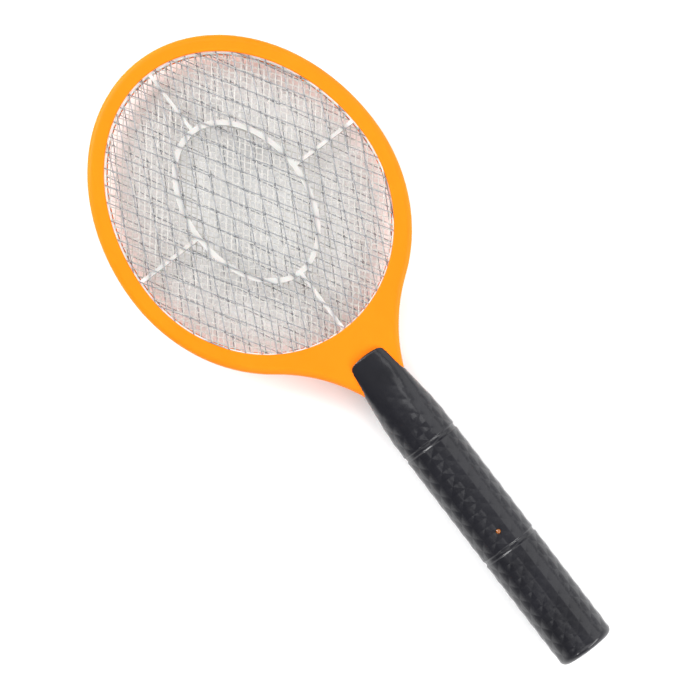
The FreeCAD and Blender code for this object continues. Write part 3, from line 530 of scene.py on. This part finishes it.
class HandleSkin:
    """Closed surface of the whole handle, a little inside the CAD surface: pyramids, grooves,
    a rounded butt and a rounded tongue. The handle's CAD pieces are cut back to it."""

    def __init__(self):
        lo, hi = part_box("front_handle_shell")
        self.radius = (hi.x - lo.x) / 2
        self.tongue_end = hi.y - BUTT_Y
        graph = bpy.context.evaluated_depsgraph_get()
        self.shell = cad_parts["front_handle_shell"].evaluated_get(graph)
        between = GROOVES[1] - GROOVES[0] - 2 * GROOVE_MOUTH
        self.half = between / 14
        self.reach_cache = {}

    def base(self, phi, station):
        """Distance from the axis to the plain outer surface. Below the tongue's edge, where
        a ray passes under it, the tongue's side is carried straight down."""
        if station <= GROOVES[1] + GROOVE_MOUTH:
            return self.radius
        phi = abs((phi + 180) % 360 - 180)
        phi = min(phi if phi <= 90 else 180 - phi, 89.4)
        key = (round(phi, 3), round(station, 7))
        if key not in self.reach_cache:
            a = math.radians(phi)
            out = Vector((math.sin(a), 0, math.cos(a)))
            centre = Vector((0, row_y(min(station, self.tongue_end - 0.01 * MM)), AXIS_Z))
            hit, place, _, _ = self.shell.ray_cast(centre + out * 3 * self.radius, -out)
            if hit:
                self.reach_cache[key] = (place - centre).length
            else:
                inner = phi - 1
                side = self.base(inner, station) * math.sin(math.radians(inner))
                self.reach_cache[key] = side / math.sin(a)
        return self.reach_cache[key]

    def fade(self, station):
        """Pyramid height against its full height: less at the butt and up the neck."""
        if station < BUTT_FADE[1]:
            return max(0.0, (station - BUTT_FADE[0]) / (BUTT_FADE[1] - BUTT_FADE[0]))
        past = max(0.0, station - NECK_FADE[0])
        return max(NECK_RELIEF, 1 - past / (NECK_FADE[1] - NECK_FADE[0]))

    def flatness(self, station):
        """1 where facets are plane, 0 where they follow the curved surface."""
        if station < BUTT_FADE[1]:
            return FLATNESS * self.fade(station)
        past = max(0.0, station - FLAT_FADE[0])
        return FLATNESS * max(0.0, 1 - past / (FLAT_FADE[1] - FLAT_FADE[0]))

    def zone_edge(self, station):
        """Station that the pyramid rows are counted from, and their direction."""
        if station <= GROOVES[0]:
            return GROOVES[0] - GROOVE_MOUTH
        if station <= GROOVES[1]:
            return GROOVES[1] - GROOVE_MOUTH
        return GROOVES[1] + GROOVE_MOUTH

    def point(self, phi, radius, station):
        a = math.radians(phi)
        return Vector((radius * math.sin(a), row_y(station), AXIS_Z + radius * math.cos(a)))

    def textured(self, phi, station):
        """Distance from the axis, and the texture's share of it, at a point of the skin."""
        step = 360 / COLUMNS
        edge = self.zone_edge(station)
        u, v = phi / step, (station - edge) / self.half
        i, j = math.floor(u + 1e-6), math.floor(v + 1e-6)
        weights = triangle_weights(u - i, v - j, (i + j) % 2 == 0)
        depth = 0.0
        plane = Vector((0, 0, 0))
        for (di, dj), weight in zip(((0, 0), (1, 0), (0, 1), (1, 1)), weights):
            low = (i + j + di + dj) % 2 == 0
            s = edge + (j + dj) * self.half
            cut = PYRAMID_HEIGHT * self.fade(station) if low else 0.0
            depth += weight * cut
            plane += self.point((i + di) * step, self.base((i + di) * step, s) - cut, s) * weight
        flat = math.hypot(plane.x, plane.z - AXIS_Z)
        share = self.flatness(station)
        return (1 - share) * (self.base(phi, station) - depth) + share * flat

    def angles(self):
        count = COLUMNS * CELLS
        plain = [360 * k / count for k in range(count)]
        seams = [s + d for s in (90, 270) for d in (-SEAM_HALF_ANGLE, SEAM_HALF_ANGLE)]
        return sorted(plain + seams)

    def rows(self):
        """(station, extra depth) of each ring of the skin."""
        step = self.half / CELLS
        made = []
        first = GROOVES[0] - GROOVE_MOUTH
        count = int((first - BUTT_DOME - BUTT_CORNER) / step)
        made += [(first - k * step, 0.0) for k in range(count, 0, -1)]
        for number, groove in enumerate(GROOVES):
            made += self.groove_rows(groove)
            start = groove + GROOVE_MOUTH
            end = GROOVES[1] - GROOVE_MOUTH if number == 0 else self.tongue_end - TONGUE_ROUND
            count = int((end - start) / step + 0.01)
            stop = 0 if number else 1
            made += [(start + k * step, 0.0) for k in range(1, count + 1 - stop)]
        turns = 7
        for k in range(turns + 1):
            a = math.pi / 2 * k / turns
            made.append((self.tongue_end - 2 * SKIN_INSET - TONGUE_ROUND * (1 - math.sin(a)),
                         TONGUE_ROUND * (1 - math.cos(a))))
        return made

    def groove_rows(self, groove):
        """Rows of a shallow groove whose sides roll smoothly down to its floor."""
        side = []
        turns = 10
        for k in range(turns + 1):
            t = k / turns
            offset = GROOVE_MOUTH + (GROOVE_FLOOR - GROOVE_MOUTH) * t
            side.append((offset, GROOVE_DEPTH * (1 - math.cos(math.pi * t)) / 2))
        below = [(groove - offset, depth) for offset, depth in side]
        above = [(groove + offset, depth) for offset, depth in reversed(side)]
        return below + above

    def butt_rows(self):
        """(station, radius) of the domed and rounded butt, from the middle outwards."""
        flat_end = self.radius - BUTT_CORNER
        made = [(BUTT_DOME * t * t, flat_end * t) for t in (0.25, 0.5, 0.75)]
        turns = 8
        for k in range(turns + 1):
            a = math.pi / 2 * k / turns
            made.append((BUTT_DOME + BUTT_CORNER * (1 - math.cos(a)),
                         flat_end + BUTT_CORNER * math.sin(a)))
        return made

    def mesh(self):
        angles = self.angles()
        rings = []
        for station, radius in self.butt_rows():
            ring = []
            for phi in angles:
                textured = station > BUTT_FADE[0]
                cut = self.radius - self.textured(phi, station) if textured else 0.0
                ring.append(self.point(phi, radius - cut - SKIN_INSET, station + SKIN_INSET))
            rings.append((station, ring))
        for station, extra in self.rows():
            ring = []
            for phi in angles:
                seam = SEAM_DEPTH if phi in (90.0, 270.0) and station < SEAM_END else 0.0
                reach = self.textured(phi, station)
                ring.append(self.point(phi, reach - extra - seam - SKIN_INSET, station))
            rings.append((station, ring))
        verts = [Vector((0, rings[0][1][0].y - 0.5 * SKIN_INSET, AXIS_Z))]
        for _, ring in rings:
            verts += ring
        verts.append(Vector((0, rings[-1][1][0].y, AXIS_Z)))
        n = len(angles)
        faces = [(0, 1 + i, 1 + (i + 1) % n) for i in range(n)]
        for r in range(len(rings) - 1):
            a, b = 1 + r * n, 1 + (r + 1) * n
            middle = (rings[r][0] + rings[r + 1][0]) / 2
            j = math.floor((middle - self.zone_edge(middle)) / self.half)
            for i in range(n):
                k = (i + 1) % n
                column = math.floor((angles[i] + 0.01) / (360 / COLUMNS))
                if (column + j) % 2 == 0:
                    faces += [(a + i, b + k, a + k), (a + i, b + i, b + k)]
                else:
                    faces += [(a + i, b + i, a + k), (a + k, b + i, b + k)]
        top = len(verts) - 1
        last = 1 + (len(rings) - 1) * n
        faces += [(top, last + (i + 1) % n, last + i) for i in range(n)]
        mesh = mesh_from([tuple(v) for v in verts], faces)
        work = bmesh.new()
        work.from_mesh(mesh)
        bmesh.ops.recalc_face_normals(work, faces=work.faces)
        work.to_mesh(mesh)
        work.free()
        return mesh


def welded_copy(node):
    """Copy of a CAD node's mesh with its doubled points joined."""
    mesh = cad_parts[node].data.copy()
    work = bmesh.new()
    work.from_mesh(mesh)
    bmesh.ops.remove_doubles(work, verts=work.verts, dist=WELD_DISTANCE)
    work.to_mesh(mesh)
    work.free()
    return mesh


def common_mesh(mesh, cutter):
    """The part of mesh that lies inside cutter."""
    obj = bpy.data.objects.new("work", mesh)
    bpy.context.scene.collection.objects.link(obj)
    cut = obj.modifiers.new("common", "BOOLEAN")
    cut.operation = "INTERSECT"
    cut.solver = "MANIFOLD"
    cut.object = cutter
    graph = bpy.context.evaluated_depsgraph_get()
    result = bpy.data.meshes.new_from_object(obj.evaluated_get(graph))
    bpy.data.objects.remove(obj)
    return result


def mark_creases(mesh, radius):
    """Sharp edges: every pyramid crease on the grip, and only true corners elsewhere."""
    mesh.shade_smooth()
    work = bmesh.new()
    work.from_mesh(mesh)
    for edge in work.edges:
        middle = (edge.verts[0].co + edge.verts[1].co) / 2
        station = middle.y - BUTT_Y
        reach = math.hypot(middle.x, middle.z - AXIS_Z)
        near_groove = min(abs(station - g) for g in GROOVES) < GROOVE_MOUTH - 0.1 * MM
        on_skin = CREASED[0] < station < CREASED[1] and reach > 0.93 * radius
        limit = math.radians(CREASE_ANGLE if on_skin and not near_groove else CORNER_ANGLE)
        edge.smooth = len(edge.link_faces) == 2 and edge.calc_face_angle(0) < limit
    work.to_mesh(mesh)
    work.free()


def handle(materials):
    skin = HandleSkin()
    cutter = bpy.data.objects.new("skin", skin.mesh())
    bpy.context.scene.collection.objects.link(cutter)
    for node, body in (("front_handle_shell", "racket"), ("rear_handle_shell", "racket"),
                       ("battery_cover", "cover")):
        mesh = common_mesh(welded_copy(node), cutter)
        mark_creases(mesh, skin.radius)
        new_object(node + "_moulding", mesh, materials["black_grip"], body, (node,))
    bpy.data.objects.remove(cutter)


# ---- Materials of the pieces ---------------------------------------------------------------

def cell_jacket():
    """Shrink jacket in two plain colours."""
    n = Nodes("cell_jacket")
    lo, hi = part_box("battery_cell_1")
    split = n.tree.nodes.new("ShaderNodeSeparateXYZ")
    n.link(n.place, split.inputs[0])
    share = n.tree.nodes.new("ShaderNodeMapRange")
    share.inputs["From Min"].default_value = lo.y
    share.inputs["From Max"].default_value = hi.y
    n.link(split.outputs["Y"], share.inputs["Value"])
    green, cream = (0.02, 0.13, 0.06), (0.75, 0.7, 0.55)
    bands = n.ramp(share.outputs[0], ((0.0, cream), (0.30, cream), (0.302, green), (1.0, green)))
    n.colour(bands)
    n.roughness(n.noise(500.0, 4.0), 0.2, 0.34)
    n.bump(n.noise(900.0, 3.0), 0.2, 0.00005)
    return n.set(coat=0.3).material


def board_laminate():
    """Brown paper laminate with its fibres showing."""
    n = Nodes("board_laminate")
    fibres = n.noise(700.0, 5.0, 0.7, stretch=(1.0, 0.2, 1.0))
    n.colour(n.ramp(fibres, ((0.3, (0.32, 0.2, 0.08)), (0.7, (0.5, 0.34, 0.16)))))
    n.roughness(fibres, 0.4, 0.6)
    n.bump(fibres, 0.3, 0.00005)
    return n.material


def winding_tape():
    """Yellow tape wound round the transformer."""
    n = Nodes("winding_tape")
    wraps = n.noise(600.0, 3.0, 0.5, stretch=(0.1, 1.0, 0.1))
    n.colour(n.ramp(wraps, ((0.3, (0.72, 0.5, 0.05)), (0.7, (0.85, 0.66, 0.12)))))
    n.roughness(wraps, 0.25, 0.4)
    n.bump(wraps, 0.4, 0.0001)
    return n.material


def make_materials():
    return {
        "orange_plastic": plastic("orange_plastic", (0.95, 0.203, 0.001), (0.97, 0.215, 0.002),
                                  (0.42, 0.52), 0.00014, specular=0.15, subsurface=0.06,
                                  subsurface_scale=0.004),
        "white_plastic": spacer_plastic(),
        "black_grip": plastic("black_grip", (0.0042, 0.0042, 0.0068), (0.0078, 0.0078, 0.0115),
                              (0.3, 0.38), 0.00005, 2200.0, specular=0.31,
                              coat=0.22, coat_roughness=0.1),
        "button_plastic": plastic("button_plastic", (0.95, 0.3, 0.008), (1.0, 0.33, 0.012),
                                  (0.3, 0.4), 0.00008, coat=0.1),
        "bobbin_plastic": plastic("bobbin_plastic", (0.02, 0.02, 0.02), (0.035, 0.035, 0.035)),
        "black_component": plastic("black_component", (0.018, 0.018, 0.018), (0.03, 0.03, 0.03),
                                   (0.45, 0.6)),
        "red_insulation": plastic("red_insulation", (0.5, 0.01, 0.01), (0.6, 0.02, 0.015),
                                  (0.3, 0.4), 0.00004),
        "black_insulation": plastic("black_insulation", (0.012, 0.012, 0.012), (0.02, 0.02, 0.02),
                                    (0.3, 0.4), 0.00004),
        "resistor_coat": plastic("resistor_coat", (0.55, 0.4, 0.22), (0.66, 0.5, 0.3),
                                 (0.25, 0.4), 0.00008),
        "capacitor_case": plastic("capacitor_case", (0.3, 0.04, 0.02), (0.38, 0.06, 0.03),
                                  (0.2, 0.32), 0.0001, 500.0, coat=0.3),
        "capacitor_disc": plastic("capacitor_disc", (0.02, 0.13, 0.38), (0.03, 0.18, 0.48),
                                  (0.2, 0.32), 0.0001, 500.0, coat=0.3),
        "ferrite": plastic("ferrite", (0.035, 0.035, 0.04), (0.06, 0.06, 0.065), (0.5, 0.7),
                           0.0001, 1200.0),
        "lamp_lens": plastic("lamp_lens", (0.2, 0.055, 0.003), (0.3, 0.085, 0.006), (0.08, 0.14),
                             0.00001, 800.0, coat=0.4, subsurface=0.1, subsurface_scale=0.001),
        "grid_wire": metal("grid_wire", (0.37, 0.38, 0.4), (0.47, 0.48, 0.5), (0.35, 0.5)),
        "weld": metal("weld", (0.07, 0.07, 0.075), (0.16, 0.16, 0.17), (0.4, 0.6), scale=1500.0),
        "mesh_metal": metal("mesh_metal", (0.65, 0.635, 0.6), (0.73, 0.715, 0.68), (0.5, 0.65)),
        "tinned_steel": metal("tinned_steel", (0.62, 0.62, 0.6), (0.72, 0.72, 0.7), (0.2, 0.35)),
        "screw_steel": metal("screw_steel", (0.45, 0.45, 0.47), (0.6, 0.6, 0.61), (0.25, 0.4)),
        "cell_jacket": cell_jacket(),
        "board_laminate": board_laminate(),
        "winding_tape": winding_tape(),
    }


CAD_MATERIALS = {
    "orange_plastic": ("front_head_frame", "rear_head_frame"),
    "white_plastic": ("front_spacer_frame", "rear_spacer_frame"),
    "tinned_steel": ("front_grid_contact", "rear_grid_contact", "mesh_contact", "battery_springs",
                     "bridge_contact", "positive_terminal", "negative_terminal"),
    "screw_steel": ("board_screws", "handle_screws", "head_screws"),
    "cell_jacket": ("battery_cell_1", "battery_cell_2"),
    "board_laminate": ("circuit_board",),
    "ferrite": ("transformer_core",),
    "bobbin_plastic": ("transformer_bobbin", "switch_plunger"),
    "winding_tape": ("transformer_winding",),
    "resistor_coat": ("resistors",),
    "black_component": ("rectifier_diodes", "switching_transistor", "key_switch"),
    "capacitor_case": ("storage_capacitor",),
    "capacitor_disc": ("boost_capacitors",),
    "lamp_lens": ("indicator_lamp",),
    "button_plastic": ("push_button",),
    "red_insulation": ("battery_lead_positive", "high_voltage_lead"),
    "black_insulation": ("battery_lead_negative", "front_ground_lead", "rear_ground_lead"),
}


def finish_cad_nodes(materials):
    for name, nodes in CAD_MATERIALS.items():
        for node in nodes:
            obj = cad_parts[node]
            obj.data.materials.clear()
            obj.data.materials.append(materials[name])


# ---- Build ---------------------------------------------------------------------------------

make_camera()
make_floor()
make_light()
materials = make_materials()
finish_cad_nodes(materials)
for grid_values in GRIDS:
    guard_grid(*grid_values, materials)
electrode_mesh(materials)
handle(materials)
